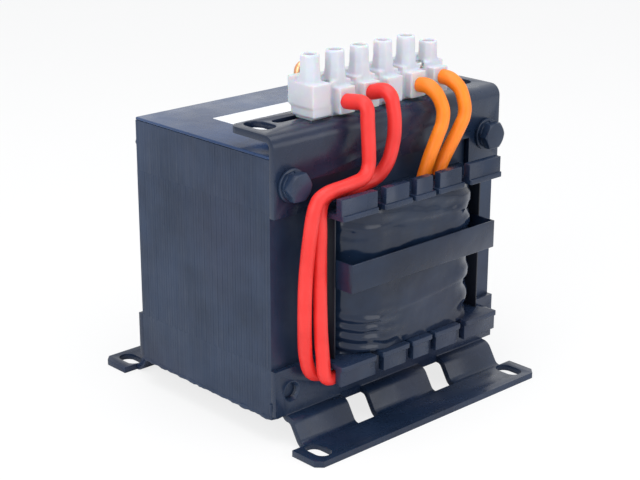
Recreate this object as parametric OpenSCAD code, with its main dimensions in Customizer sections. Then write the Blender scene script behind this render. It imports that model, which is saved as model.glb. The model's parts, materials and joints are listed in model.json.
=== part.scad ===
// Laminated chassis transformer with foot brackets and a terminal strip.
// Origin: on the mounting surface, under the middle of the core.
// +X runs along the width, -Y is the side the leads come out on, +Z is up.

/* [Core] */
// Width of an outer leg and of the yoke, half the width of the centre leg
leg_w = 20; // [18:0.5:22]
// Thickness of the whole stack of laminations
stack_t = 78; // [60:1:90]
// Number of packs that the stack is interleaved in
pack_count = 13; // [9:2:17]
// Air gap where an E and an I butt together
seam_gap = 0.1; // [0.05:0.05:0.2]
// Height of the core's underside above the mounting surface
core_lift = 10; // [8:0.5:14]
// Bolt hole centre from the core's side
bolt_in_x = 8; // [7.5:0.5:11]
// Bolt hole centre from the core's top or bottom
bolt_in_z = 10; // [8:0.5:11]
// Diameter of the bolt holes in the laminations
core_hole_d = 8.6; // [8:0.1:9]

/* [Brackets] */
// Thickness of the bracket sheet
sheet_t = 2.5; // [2:0.1:3]
// How far a foot's ears stand out of the core's side
ear_out = 1; // [0:0.1:5]
// Distance from the core's face to a foot's tip
foot_reach = 27; // [24:0.5:32]
// Slope of the foot's neck from the level
slope_angle = 59; // [55:1:75]
// Length of the level step above the slope
step_l = 0.3; // [0:0.1:1.5]
// Chamfer on the foot's outer corners
foot_chamfer = 2.5; // [1:0.5:4]
// Fixing slot, end to end
slot_l = 11.5; // [9:0.5:14]
// Fixing slot width
slot_w = 7; // [5.5:0.1:8]
// Fixing slot centre from the foot's side
slot_in = 7.5; // [7:0.1:10]
// Fixing slot centre from the core's face
slot_at = 18.5; // [18:0.5:20]
// Width of the two windows in a foot's bend
window_w = 11; // [8:0.5:14]
// Distance between the middles of the two windows
window_pitch = 43; // [36:1:50]
// Height of the upper flange's top above the core
ledge_h = 8.7; // [7:0.1:11]
// Depth of the upper flange behind the core's front face
ledge_d = 22; // [20:0.5:26]
// Outer radius of the upper bend
ledge_r = 4.5; // [4:0.5:8]
// Height of the upper bracket's apron below the core's top, between the tabs
apron_h = 10; // [8:0.5:12]
// Width of the upper bracket's end tabs
tab_w = 17.5; // [16:0.5:17.5]
// Height of the end tabs below the core's top
tab_h = 21.5; // [18:0.5:24]

/* [Bobbin and coil] */
// Thickness of the bobbin's flanges
flange_t = 2; // [1.6:0.1:2.6]
// Wall of the bobbin's tube
tube_wall = 1.5; // [1:0.1:2]
// Distance from the core's face to the lip of a flange
flange_reach = 20; // [18:0.5:22]
// Width of the combed part of a flange
comb_w = 85.2; // [82:0.2:90]
// Height of the comb's teeth above the flange
comb_h = 6; // [4:0.5:7]
// Thickness of the comb's teeth
comb_t = 3; // [2:0.5:4]
// Share of the two windings' radial build that is the inner one's
primary_share = 0.47; // [0.3:0.01:0.7]
// Radial build of the layer between the windings
barrier_build = 0.6; // [0.3:0.1:1]
// Radial build of the outer wrap of tape
wrap_build = 1.2; // [0.6:0.1:1.4]
// Gap between the coil and the liners of the outer legs
coil_clear = 1.2; // [0.5:0.1:3]
// Height of the strap around the front of the coil
strap_h = 11; // [8:0.5:14]
// Height of the strap's middle above the core's underside
strap_z = 55.5; // [50:0.5:60]
// Thickness of the strap
strap_t = 0.8; // [0.5:0.1:1]
// Length of the strap's ends inside the core
strap_tuck = 12; // [6:1:20]
// Thickness of the liner between coil and outer leg
liner_t = 0.6; // [0.4:0.1:0.8]
// How far a liner stands out of the core
liner_out = 12; // [8:0.5:14]

/* [Terminal strip] */
// Distance between two poles
pole_pitch = 12.4; // [12:0.1:13]
// Middle of the strip from the middle of the core along X
strip_x = -1.2; // [-3:0.1:3]
// Middle of the strip behind the core's front face
strip_at = 9; // [7:0.5:10]
// Depth of the strip from wire entry to wire entry
strip_d = 13; // [12:0.2:15]
// Width of one wire entry's nose
nose_w = 8; // [6.8:0.1:9]
// Diameter of a wire entry
entry_d = 5.6; // [5.5:0.1:6]
// Height of a wire entry's axis above the strip's foot
entry_z = 5.8; // [5.3:0.1:8]
// Height of the strip's body
body_h = 13; // [12:0.5:15]
// Height of the screw towers above the body
tower_h = 11; // [8:0.1:14]
// Width of a tower across its flats at the bottom
tower_w = 7.6; // [7:0.1:9]
// Width of a tower across its flats at the top
tower_top_w = 6.9; // [6.4:0.1:7]

/* [Fasteners and leads] */
// Thread diameter of the clamp bolts
bolt_d = 6; // [5:0.5:6]
// Width of the hexagon heads across their flats
hex_af = 10; // [10:0.5:11]
// Height of a bolt's head
head_h = 3.4; // [3:0.1:5]
// Height of a nut
nut_h = 3; // [2.6:0.1:5]
// Diameter of the plain washers
washer_d = 12.5; // [12:0.5:14]
// Thickness of the plain washers
washer_t = 1.2; // [1:0.1:2]
// Thickness of the spring washers
spring_t = 1.1; // [0.9:0.1:2]
// Outer diameter of a lead
lead_d = 5.3; // [5:0.1:5.3]
// Diameter of the bare link between two poles
link_d = 4.6; // [4:0.1:5]
// Thickness of the cover sheet on the core
cover_t = 1.2; // [0.8:0.1:1.5]
// Length of the rating label
label_l = 80; // [50:1:100]
// Width of the rating label
label_w = 33; // [20:1:50]

/* [Hidden] */
$fn = 48;

// Running fits and small clearances
fit = 0.1;      // between windings, tube and layers
slack = 0.3;    // between the core, the bobbin and the brackets
eps = 0.01;     // overlap of a cutter past a face

// The core
core_w = 6 * leg_w;
core_h = 5 * leg_w;
window_h = 3 * leg_w;
core_bottom = core_lift;
core_top = core_lift + core_h;
front_face = -stack_t / 2;
pack_t = stack_t / pack_count;
bolt_x = core_w / 2 - bolt_in_x;
bolt_low = core_bottom + bolt_in_z;
bolt_high = core_top - bolt_in_z;

// The bobbin and the coil around the centre leg
tube_in_w = 2 * leg_w + 2 * slack;
tube_in_d = stack_t + 2 * slack;
tube_out_w = tube_in_w + 2 * tube_wall;
tube_out_d = tube_in_d + 2 * tube_wall;
tube_corner_r = 2;
flange_low = core_bottom + leg_w + fit;
flange_high = core_top - leg_w - fit;
window_half = 2 * leg_w - 2 * slack;
coil_low = flange_low + flange_t + fit;
coil_high = flange_high - flange_t - fit;
coil_h = coil_high - coil_low;
comb_gap_in = 4;      // gap beside the comb's middle tooth
comb_gap_out = 4.4;   // gap beside the comb's end teeth
comb_mid_w = 8.6;     // the middle tooth
comb_side_w = 12;     // the tooth next to it
lip_out = 1;          // how far a flange's lip stands past its teeth
lip_side = 1.2;       // how far a tongue stands past its tooth sideways
comb_slot_d = 9;      // depth of the slots between the tongues
liner_x = window_half - liner_t;
coil_build = liner_x - coil_clear - tube_out_w / 2;
winding_build = coil_build - barrier_build - wrap_build;
primary_build = primary_share * winding_build;
secondary_build = winding_build - primary_build;
strap_x = liner_x - fit;
strap_y = front_face - flange_reach - 0.4;

// The upper bracket
ledge_top = core_top + ledge_h;
ledge_rear = front_face + ledge_d;
ledge_corner_r = 4;
ledge_slot_w = 4.5;
ledge_slot_l = 44;
ledge_web = 6.4;         // from the middle of an end hole to the long slot
ledge_hole_l = 13.5;
ledge_hole_w = 8.5;
ledge_hole_in = 8;      // from the bracket's end
ledge_hole_back = 14;   // from the core's front face
ledge_hole_x = core_w / 2 - ledge_hole_in;
ledge_hole_y = front_face + ledge_hole_back;
ledge_slot_x = ledge_slot_l / 2 - (ledge_hole_x - ledge_web);

// The foot's section: straight flange, outward step, falling slope, flat foot
foot_flange_top = core_bottom + leg_w - slack;
step_z = core_bottom - 0.2;
bend_in_r = 1.6;      // centreline radius where the flange turns out
bend_out_r = 3.5;     // centreline radius where the step turns down
bend_toe_r = 4;       // centreline radius where the slope meets the foot
foot_w = core_w + 2 * ear_out;
slot_x = foot_w / 2 - slot_in;
neck_w = core_w - 10.5;
step_end = sheet_t / 2 + bend_in_r + step_l;
slope_start = step_end + bend_out_r * tan(slope_angle / 2);
slope_end = slope_start + (step_z - sheet_t / 2) / tan(slope_angle);
foot_flat_at = slope_end + bend_toe_r * tan(slope_angle / 2);

// Fasteners
sleeve_wall = 0.9;
bush_l = 12;
bush_engaged = 6;
chamfer_hex = 0.6;

// The terminal strip
strip_foot = ledge_top;
strip_y = front_face + strip_at;
poles = 6;
body_w = 9.8;
body_d = 7;
nose_h = 10;
tower_short = 3.6;    // how much lower the last tower is
insert_w = 6;
insert_h = 7;
insert_l = 6;
screw_d = 3.5;
shaft_hole_d = 5;

function pole_x(i) = strip_x + (i - (poles - 1) / 2) * pole_pitch;

// Routes of the leads, each stretch set out from the place it passes: its pole's wire entry,
// then the upper and the lower comb's end
function from(a, points) = [for (p = points) a + p];
function front_entry(i) = [pole_x(i), front_face, strip_foot + entry_z];
function rear_entry(i) = [pole_x(i), strip_y + strip_d / 2, strip_foot + entry_z];
comb_end_high = [-comb_w / 2, front_face, flange_high];
comb_end_low = [-comb_w / 2, front_face, flange_low];
comb_top = [0, front_face, flange_high];

red_left_route = concat(
    from(front_entry(1), [[0, 5.8, 0], [0, 1.8, 0], [0, -1.5, 1], [-0.2, -9.5, 3.5], [-0.7, -12.5, 1.5],
        [-0.7, -13, -8.5], [-0.7, -13, -19.5], [-2.2, -12.5, -25]]),
    from(comb_end_high, [[10.1, -12.5, 8.6], [-1.4, -12, 7.1], [-6.9, -12.2, 3.1], [-8.4, -11, -9.9]]),
    from(comb_end_low, [[-9.4, -10, 33.9], [-8.9, -9, 15.9], [-7.4, -8, 4.9], [-4.9, -7.6, -1.6],
        [-1.4, -7.6, -3.9], [2.1, -7.6, -3.9]]));
red_right_route = concat(
    from(front_entry(2), [[0, 5.8, 0], [0, 1.8, 0], [0, -1.5, 1], [-0.6, -9, 3], [-1.1, -11.5, 1],
        [-1.1, -11.5, -10], [-3.1, -10.5, -21.5]]),
    from(comb_end_high, [[26.6, -8, 6.1], [15.6, -7, 4.6], [4.6, -7.6, 5.1], [-2.7, -7.6, 2.1],
        [-2.7, -11, -7.9]]),
    from(comb_end_low, [[-3.2, -11, 31.9], [-3.2, -11.5, 15.9], [-3.2, -12.5, 5.9],
        [-3, -13.3, -1.6], [-0.9, -13.3, -3.9], [2.6, -13.3, -3.9]]));
orange_left_route = concat(
    from(front_entry(4), [[0, 5.8, 0], [0, 1.8, 0], [0, -1.5, 0.4], [0.6, -6, -1], [1.6, -9.5, -7.5],
        [0.1, -9.5, -16.5]]),
    from(comb_top, [[14.5, -8, 9.1], [12, -7, 0.9]]));
orange_right_route = concat(
    from(front_entry(5), [[0, 5.8, 0], [0, 1.8, 0], [0, -1.5, 0.4], [0.7, -6, -1], [1.7, -9.5, -7.5],
        [-0.3, -9.5, -16.5]]),
    from(comb_top, [[24, -8, 9.1], [20.5, -7, 1.1]]));
link_route = concat(
    from(rear_entry(0), [[0, -3.3, 0], [0, 1.6, 0.3], [0, 3, 3.5], [0, 3.2, 8], [0.9, 3.1, 10.8],
        [3.2, 2.8, 11.8]]),
    from(rear_entry(1), [[-3.2, 2.8, 11.8], [-0.9, 3.1, 10.8], [0, 3.2, 8], [0, 3, 3.5],
        [0, 1.6, 0.3], [0, -3.3, 0]]));

// ---- Shapes used more than once ----

// A plane figure drawn in X and Z, given a thickness from y0 backwards
module slab(y0, t) {
    translate([0, y0 + t, 0]) rotate([90, 0, 0]) linear_extrude(t) children();
}

// A plane figure drawn in Y and Z, stretched along X and centred on it
module along_x(w) {
    rotate([90, 0, 90]) translate([0, 0, -w / 2]) linear_extrude(w) children();
}

// A rectangle with round corners
module round_rect(w, d, r) {
    square([w - 2 * r, d], center = true);
    square([w, d - 2 * r], center = true);
    for (x = [-1, 1], y = [-1, 1]) translate([x * (w / 2 - r), y * (d / 2 - r)]) circle(r);
}

// A round-ended slot along Y
module slot_y(l, w) {
    square([w, l - w], center = true);
    for (y = [-1, 1]) translate([0, y * (l - w) / 2]) circle(d = w);
}

// One layer of the coil, between two distances from the bobbin's tube
module coil_layer(inner, outer) {
    r0 = tube_corner_r;
    translate([0, 0, coil_low]) linear_extrude(coil_h) difference() {
        round_rect(tube_out_w + 2 * outer, tube_out_d + 2 * outer, r0 + outer);
        round_rect(tube_out_w + 2 * inner, tube_out_d + 2 * inner, r0 + inner);
    }
}

// Children at the front and mirrored at the rear
module front_and_rear() {
    children();
    mirror([0, 1, 0]) children();
}

// Children at the right and mirrored at the left
module both_sides() {
    children();
    mirror([1, 0, 0]) children();
}

// A bar along Y, from y0 to y1
module rod(x, z, d, y0, y1) {
    translate([x, y1, z]) rotate([90, 0, 0]) cylinder(d = d, h = y1 - y0);
}

// A hexagon along Y with its chamfered face at y0
module hexagon(x, z, y0, y1) {
    corner_d = hex_af / cos(30);
    translate([x, y1, z]) rotate([90, 0, 0]) intersection() {
        cylinder(d = corner_d, h = y1 - y0, $fn = 6);
        rotate_extrude() polygon([[0, 0], [corner_d / 2, 0], [corner_d / 2, y1 - y0 - chamfer_hex],
            [hex_af / 2 - chamfer_hex / 2, y1 - y0], [0, y1 - y0]]);
    }
}

// ---- Swept leads ----

function unit(v) = v / norm(v);
function route_tangent(p, i) = i == 0 ? unit(p[1] - p[0])
    : i == len(p) - 1 ? unit(p[i] - p[i - 1])
    : unit(unit(p[i] - p[i - 1]) + unit(p[i + 1] - p[i]));
// Carries a normal from one ring to the next without a twist
function carried(n, t) = unit(n - (n * t) * t);
function route_normals(p, i = 0, prev = [0, 0, 1]) =
    i == len(p) ? [] : let (n = carried(prev, route_tangent(p, i)))
    concat([n], route_normals(p, i + 1, n));

// A tube of diameter d along the points p
module swept(p, d, sides = 10) {
    normals = route_normals(p);
    ring = [for (i = [0 : len(p) - 1]) let (t = route_tangent(p, i), n = normals[i], b = cross(t, n))
        for (s = [0 : sides - 1]) p[i] + d / 2 * (cos(360 * s / sides) * n + sin(360 * s / sides) * b)];
    last = (len(p) - 1) * sides;
    walls = [for (i = [0 : len(p) - 2], s = [0 : sides - 1])
        [i * sides + s, i * sides + (s + 1) % sides,
         (i + 1) * sides + (s + 1) % sides, (i + 1) * sides + s]];
    caps = [[for (s = [sides - 1 : -1 : 0]) s], [for (s = [0 : sides - 1]) last + s]];
    polyhedron(concat(ring), concat(walls, caps), convexity = 8);
}

// ---- The core ----

// An E with its yoke at the bottom, seen from the front, standing on z = 0
module e_figure() {
    leg_top = core_h - leg_w - seam_gap / 2;
    difference() {
        translate([-core_w / 2, 0]) square([core_w, leg_top]);
        for (s = [-1, 1]) translate([s * 1.5 * leg_w - leg_w / 2, leg_w])
            square([leg_w, window_h + eps]);
        for (s = [-1, 1]) translate([s * bolt_x, bolt_in_z]) circle(d = core_hole_d);
    }
}

// The I that closes the E, standing on z = 0
module i_figure() {
    difference() {
        translate([-core_w / 2, core_h - leg_w + seam_gap / 2])
            square([core_w, leg_w - seam_gap / 2]);
        for (s = [-1, 1]) translate([s * bolt_x, core_h - bolt_in_z]) circle(d = core_hole_d);
    }
}

// Every other pack is turned upside down
module packs() {
    for (k = [0 : pack_count - 1])
        translate([0, 0, core_bottom + (k % 2) * core_h]) mirror([0, 0, k % 2])
            slab(front_face + k * pack_t, pack_t) children();
}

module e_laminations() {
    color([0.2, 0.23, 0.3]) packs() e_figure();
}

module i_laminations() {
    color([0.22, 0.25, 0.32]) packs() i_figure();
}

// ---- The bobbin ----

// Middle and width of each tooth on one side of the comb's centre, and the centre tooth
side_tooth_x = comb_mid_w / 2 + comb_gap_in + comb_side_w / 2;
end_tooth_in = side_tooth_x + comb_side_w / 2 + comb_gap_out;
end_tooth_w = comb_w / 2 - end_tooth_in;
end_tooth_x = end_tooth_in + end_tooth_w / 2;
teeth = [[0, comb_mid_w], [side_tooth_x, comb_side_w], [-side_tooth_x, comb_side_w],
    [end_tooth_x, end_tooth_w], [-end_tooth_x, end_tooth_w]];

// Plan of a flange: the part in the windows and the slotted tongues at the front
module flange_plan() {
    pad_in = stack_t / 2 + sheet_t + slack;
    tongue_root = stack_t / 2 + flange_reach - comb_slot_d;
    lip = stack_t / 2 + flange_reach;
    square([2 * window_half, 2 * tongue_root], center = true);
    for (f = [-1, 1]) {
        translate([0, f * (pad_in + tongue_root + 2) / 2])
            square([comb_w, tongue_root - pad_in + 2], center = true);
        for (tooth = teeth) translate([tooth[0], f * (tongue_root + lip) / 2])
            round_rect(min(tooth[1] + 2 * lip_side, comb_w - 2 * abs(tooth[0])),
                lip - tongue_root, 0.8);
    }
}

// The teeth that stand up along the front edge of the upper flange
module teeth_row() {
    tooth_face = front_face - flange_reach + lip_out;
    for (tooth = teeth) translate([tooth[0] - tooth[1] / 2, tooth_face, flange_high - eps])
        cube([tooth[1], comb_t, comb_h + eps]);
}

// A comb: one flange, its teeth and the opening that the tube is glued in
module comb() {
    color([0.16, 0.19, 0.26]) difference() {
        union() {
            translate([0, 0, flange_high - flange_t]) linear_extrude(flange_t) flange_plan();
            front_and_rear() teeth_row();
        }
        translate([0, 0, core_bottom]) linear_extrude(core_h)
            square([tube_out_w + fit, tube_out_d + fit], center = true);
    }
}

module upper_comb() {
    comb();
}

module lower_comb() {
    translate([0, 0, 2 * core_bottom + core_h]) mirror([0, 0, 1]) comb();
}

module bobbin_tube() {
    color([0.16, 0.19, 0.26]) translate([0, 0, flange_low])
        linear_extrude(flange_high - flange_low) difference() {
            round_rect(tube_out_w, tube_out_d, tube_corner_r);
            square([tube_in_w, tube_in_d], center = true);
        }
}

// ---- The coil ----

module primary_winding() {
    color([0.72, 0.4, 0.22]) coil_layer(fit, primary_build);
}

module winding_barrier() {
    color([0.9, 0.85, 0.7]) coil_layer(primary_build, primary_build + barrier_build);
}

module secondary_winding() {
    inner = primary_build + barrier_build;
    color([0.74, 0.43, 0.25]) coil_layer(inner, inner + secondary_build);
}

module coil_wrap() {
    color([0.2, 0.23, 0.3]) coil_layer(coil_build - wrap_build, coil_build);
}

// A U of thin sheet across the front of the coil, its ends tucked into the windows
module coil_strap() {
    ends = front_face + strap_tuck;
    color([0.22, 0.25, 0.33])
        translate([0, 0, core_bottom + strap_z - strap_h / 2]) linear_extrude(strap_h) difference() {
            translate([-strap_x, strap_y]) square([2 * strap_x, ends - strap_y]);
            translate([strap_t - strap_x, strap_y + strap_t])
                square([2 * (strap_x - strap_t), ends - strap_y]);
        }
}

module leg_liners() {
    color([0.14, 0.16, 0.22]) both_sides()
        translate([liner_x, front_face - liner_out, coil_low])
            cube([liner_t, stack_t + 2 * liner_out, coil_h]);
}

// ---- Sheets on the core ----

module cover_sheet() {
    color([0.3, 0.34, 0.43]) translate([-core_w / 2, front_face, core_top])
        cube([core_w, stack_t, cover_t]);
}

module rating_label() {
    label_t = 0.15;
    color([0.93, 0.94, 0.96]) translate([-label_l / 2, -label_w / 2, core_top + cover_t])
        cube([label_l, label_w, label_t]);
}

// ---- Brackets ----

// A quarter of a round bend: centre, outer radius and wall, filling one quadrant
module bend_quarter(r, t, sx, sy) {
    intersection() {
        difference() {
            circle(r);
            circle(r - t);
        }
        translate([sx > 0 ? 0 : -r, sy > 0 ? 0 : -r]) square(r);
    }
}

// Section of the upper bracket in Y and Z
module ledge_section() {
    outer_y = front_face - sheet_t;
    translate([outer_y, core_top - tab_h]) square([sheet_t, ledge_h + tab_h - ledge_r]);
    translate([outer_y + ledge_r, ledge_top - ledge_r]) bend_quarter(ledge_r, sheet_t, -1, 1);
    translate([outer_y + ledge_r, ledge_top - sheet_t])
        square([ledge_rear - outer_y - ledge_r, sheet_t]);
}

// Plan of what is cut from the upper flange
module ledge_cuts() {
    both_sides() translate([ledge_hole_x, ledge_hole_y]) slot_y(ledge_hole_l, ledge_hole_w);
    translate([ledge_slot_x, ledge_hole_y]) rotate(90) slot_y(ledge_slot_l, ledge_slot_w);
    for (i = [0 : 1]) translate([strip_screw_x(i), strip_y]) circle(d = strip_screw_d + 2 * fit);
    both_sides() translate([core_w / 2 - ledge_corner_r, ledge_rear - ledge_corner_r]) difference() {
        square(ledge_corner_r + 1);
        circle(ledge_corner_r);
    }
}

module terminal_bracket() {
    inner_w = core_w - 2 * tab_w;
    color([0.2, 0.24, 0.32]) difference() {
        along_x(core_w) ledge_section();
        translate([-inner_w / 2, front_face - sheet_t - 1, core_top - tab_h - 1])
            cube([inner_w, sheet_t + 2, tab_h - apron_h + 1]);
        both_sides() rod(bolt_x, bolt_high, bolt_d + 2 * slack, front_face - sheet_t - 1,
            front_face + 1);
        translate([0, 0, ledge_top - sheet_t - 1]) linear_extrude(sheet_t + 2) ledge_cuts();
    }
}

// A stretch of sheet from p to q, seen in section
module straight(p, q) {
    d = q - p;
    translate(p) rotate(atan2(d[1], d[0])) translate([-eps, -sheet_t / 2])
        square([norm(d) + 2 * eps, sheet_t]);
}

// A bend about c, centreline radius r, from angle a by sweep degrees (under 180)
module bend(c, r, a, sweep) {
    far = 3 * (r + sheet_t);
    translate(c) intersection() {
        difference() {
            circle(r + sheet_t / 2);
            circle(r - sheet_t / 2);
        }
        polygon([[0, 0], far * [cos(a), sin(a)], far * [cos(a + sweep / 2), sin(a + sweep / 2)],
            far * [cos(a + sweep), sin(a + sweep)]]);
    }
}

// Section of the whole foot, drawn with +X away from the core's face and +Y up
module foot_section() {
    mid = sheet_t / 2;
    down = [cos(slope_angle), -sin(slope_angle)];
    straight([mid, foot_flange_top], [mid, step_z + bend_in_r]);
    bend([mid + bend_in_r, step_z + bend_in_r], bend_in_r, 180, 90);
    straight([mid + bend_in_r, step_z], [step_end, step_z]);
    bend([step_end, step_z - bend_out_r], bend_out_r, 90 - slope_angle, slope_angle);
    straight([slope_start, step_z] + (slope_start - step_end) * down,
        [slope_end, mid] - (foot_flat_at - slope_end) * down);
    bend([foot_flat_at, mid + bend_toe_r], bend_toe_r, 270 - slope_angle, slope_angle);
    straight([foot_flat_at, mid], [foot_reach, mid]);
}

// What is cut from the flat at the front: slots and outer corners
module foot_cuts() {
    tip = front_face - foot_reach;
    w = foot_w / 2;
    both_sides() {
        translate([slot_x, front_face - slot_at]) slot_y(slot_l, slot_w);
        polygon([[w - foot_chamfer, tip], [w, tip + foot_chamfer], [w + 1, tip - 1]]);
    }
}

// The neck is narrower than the flange above it and the flat below it
module foot_side_cuts() {
    root = front_face - foot_flat_at;
    neck_top = step_z + bend_in_r;
    both_sides() {
        translate([neck_w / 2, root, -1]) cube([foot_w, foot_flat_at + 1, neck_top + 1]);
        translate([neck_w / 2, root - 2, sheet_t]) cube([foot_w, 3, neck_top]);
        translate([core_w / 2, root, neck_top - eps]) cube([foot_w, foot_flat_at + 1, core_h]);
    }
}

module foot() {
    window_in = step_end - bend_in_r / 2;
    difference() {
        along_x(foot_w) translate([front_face, 0]) mirror([1, 0]) foot_section();
        translate([0, 0, -1]) linear_extrude(sheet_t + 2) foot_cuts();
        foot_side_cuts();
        both_sides() {
            rod(bolt_x, bolt_low, core_hole_d - 2 * fit, front_face - sheet_t - 1, front_face + 1);
            translate([window_pitch / 2 - window_w / 2, front_face - foot_flat_at, -1])
                cube([window_w, foot_flat_at - window_in, core_bottom + 3]);
        }
    }
}

module front_foot() {
    color([0.17, 0.21, 0.29]) foot();
}

module rear_foot() {
    color([0.17, 0.21, 0.29]) mirror([0, 1, 0]) foot();
}

// ---- Fasteners ----

// Thickness stacked in front of the core at the upper bolts
front_stack = sheet_t + washer_t + spring_t;

module upper_bolts() {
    seat = front_face - front_stack;
    color([0.19, 0.23, 0.31]) both_sides() {
        rod(bolt_x, bolt_high, bolt_d, seat - eps, -front_face + washer_t + nut_h + slack);
        hexagon(bolt_x, bolt_high, seat - head_h, seat);
    }
}

// Headless, screwed into a threaded bush at each end
module lower_bolts() {
    tip = front_face + bush_l - bush_engaged - sheet_t;
    color([0.19, 0.23, 0.31]) both_sides() rod(bolt_x, bolt_low, bolt_d, tip, -tip);
}

// Tubes that keep the bolts clear of the laminations
module bolt_sleeves() {
    outer = bolt_d + 2 * fit + 2 * sleeve_wall;
    bush_end = front_face + bush_l - sheet_t + fit;
    color([0.85, 0.8, 0.6]) both_sides() {
        sleeve(bolt_high, outer, front_face + fit, -front_face - fit);
        sleeve(bolt_low, outer, bush_end, -bush_end);
    }
}

module sleeve(z, outer, y0, y1) {
    difference() {
        rod(bolt_x, z, outer, y0, y1);
        rod(bolt_x, z, bolt_d + 2 * fit, y0 - 1, y1 + 1);
    }
}

// Nuts pressed into both feet that the lower bolts screw into
module threaded_bushes() {
    y0 = front_face - sheet_t;
    color([0.24, 0.27, 0.34]) both_sides() front_and_rear() difference() {
        rod(bolt_x, bolt_low, core_hole_d - 2 * fit, y0, y0 + bush_l);
        rod(bolt_x, bolt_low, bolt_d + fit, y0 - 1, y0 + bush_l + 1);
    }
}

// A ring on a bolt, from y0 backwards
module ring_on_bolt(z, outer, y0, t) {
    difference() {
        rod(bolt_x, z, outer, y0, y0 + t);
        rod(bolt_x, z, bolt_d + 2 * fit, y0 - 1, y0 + t + 1);
    }
}

module plain_washers() {
    color([0.2, 0.24, 0.32]) both_sides() {
        ring_on_bolt(bolt_high, washer_d, front_face - sheet_t - washer_t, washer_t);
        ring_on_bolt(bolt_high, washer_d, -front_face, washer_t);
    }
}

// Split rings under the bolts' heads
module spring_washers() {
    split_w = 0.8;
    outer = hex_af + 0.6;
    color([0.2, 0.24, 0.32]) both_sides() difference() {
        ring_on_bolt(bolt_high, outer, front_face - front_stack, spring_t);
        translate([bolt_x - split_w / 2, front_face - front_stack - 1, bolt_high])
            cube([split_w, spring_t + 2, outer]);
    }
}

module rear_nuts() {
    seat = -front_face + washer_t;
    color([0.2, 0.24, 0.32]) both_sides() difference() {
        mirror([0, 1, 0]) hexagon(bolt_x, bolt_high, -seat - nut_h, -seat);
        rod(bolt_x, bolt_high, bolt_d + fit, seat - 1, seat + nut_h + 1);
    }
}

// ---- The terminal strip ----

strip_screw_d = 3;
strip_head_d = 5;
function strip_screw_x(i) = (pole_x(i == 0 ? 0 : poles - 2) + pole_x(i == 0 ? 1 : poles - 1)) / 2;

// An eight-sided tower that narrows upwards from z = 0
module tower(h) {
    corner = 2.1;
    half = tower_w / 2;
    linear_extrude(h, scale = tower_top_w / tower_w) polygon([[half - corner, -half], [half, corner - half], [half, half - corner],
        [half - corner, half], [corner - half, half], [-half, half - corner], [-half, corner - half],
        [corner - half, -half]]);
}

module terminal_housing() {
    nose_low = entry_z - nose_h / 2;
    color([0.92, 0.93, 0.97, 0.85]) translate([0, strip_y, strip_foot]) difference() {
        union() {
            for (i = [0 : poles - 1]) translate([pole_x(i), 0, 0]) {
                translate([0, 0, nose_low]) linear_extrude(nose_h)
                    square([nose_w, strip_d], center = true);
                linear_extrude(body_h) square([body_w, body_d], center = true);
                translate([0, 0, body_h - eps])
                    tower(tower_h - (i == poles - 1 ? tower_short : 0) + eps);
            }
            web_l = (poles - 1) * pole_pitch;
            translate([pole_x(0), -body_d / 2 + 1, 0]) cube([web_l, body_d - 2, body_h - 2]);
        }
        for (i = [0 : poles - 1]) translate([pole_x(i), 0, 0]) {
            translate([0, 0, entry_z])
                cube([insert_w + fit, insert_l + fit, insert_h + fit], center = true);
            front_and_rear() translate([0, -insert_l / 2, entry_z]) rotate([90, 0, 0])
                cylinder(d = entry_d, h = strip_d / 2);
            translate([0, 0, entry_z]) cylinder(d = shaft_hole_d, h = body_h + tower_h);
        }
        for (i = [0 : 1]) translate([strip_screw_x(i), 0, 0]) {
            translate([0, 0, -1]) cylinder(d = strip_screw_d + 2 * fit, h = body_h + 2);
            translate([0, 0, body_h - 2]) cylinder(d = strip_head_d + 2 * fit, h = tower_h);
        }
    }
}

// Brass blocks that the wires are clamped in
module terminal_inserts() {
    bore = insert_w - 1.8;
    color([0.8, 0.68, 0.35]) for (i = [0 : poles - 1])
        translate([pole_x(i), strip_y, strip_foot + entry_z]) difference() {
            cube([insert_w, insert_l, insert_h], center = true);
            rotate([90, 0, 0]) cylinder(d = bore, h = insert_l + 1, center = true);
            cylinder(d = screw_d + 2 * fit, h = insert_h);
        }
}

module terminal_screws() {
    shank_l = 3;
    screw_head_h = 2.5;
    slit_w = 0.8;
    slit_h = 1;
    head_d = shaft_hole_d - 2 * fit;
    top = shank_l + screw_head_h;
    screw_z = strip_foot + entry_z + insert_h / 2 - shank_l + 1;
    color([0.75, 0.75, 0.72]) for (i = [0 : poles - 1]) translate([pole_x(i), strip_y, screw_z])
        difference() {
            union() {
                cylinder(d = screw_d, h = shank_l);
                translate([0, 0, shank_l - eps]) cylinder(d = head_d, h = screw_head_h + eps);
            }
            translate([-head_d, -slit_w / 2, top - slit_h]) cube([2 * head_d, slit_w, slit_h + 1]);
        }
}

// Screws that hold the strip on the upper flange
module strip_screws() {
    color([0.7, 0.7, 0.68]) for (i = [0 : 1]) translate([strip_screw_x(i), strip_y, strip_foot]) {
        translate([0, 0, -sheet_t - 1]) cylinder(d = strip_screw_d, h = sheet_t + 1 + body_h - 2);
        translate([0, 0, body_h - 2]) cylinder(d = strip_head_d, h = 1.8);
    }
}

// ---- The leads ----

module red_lead_left() {
    color([0.95, 0.22, 0.2]) swept(red_left_route, lead_d);
}

module red_lead_right() {
    color([0.95, 0.22, 0.2]) swept(red_right_route, lead_d);
}

module orange_lead_left() {
    color([1, 0.5, 0.08]) swept(orange_left_route, lead_d);
}

module orange_lead_right() {
    color([1, 0.5, 0.08]) swept(orange_right_route, lead_d);
}

module copper_link() {
    color([0.85, 0.5, 0.3]) swept(link_route, link_d, 8);
}

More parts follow.
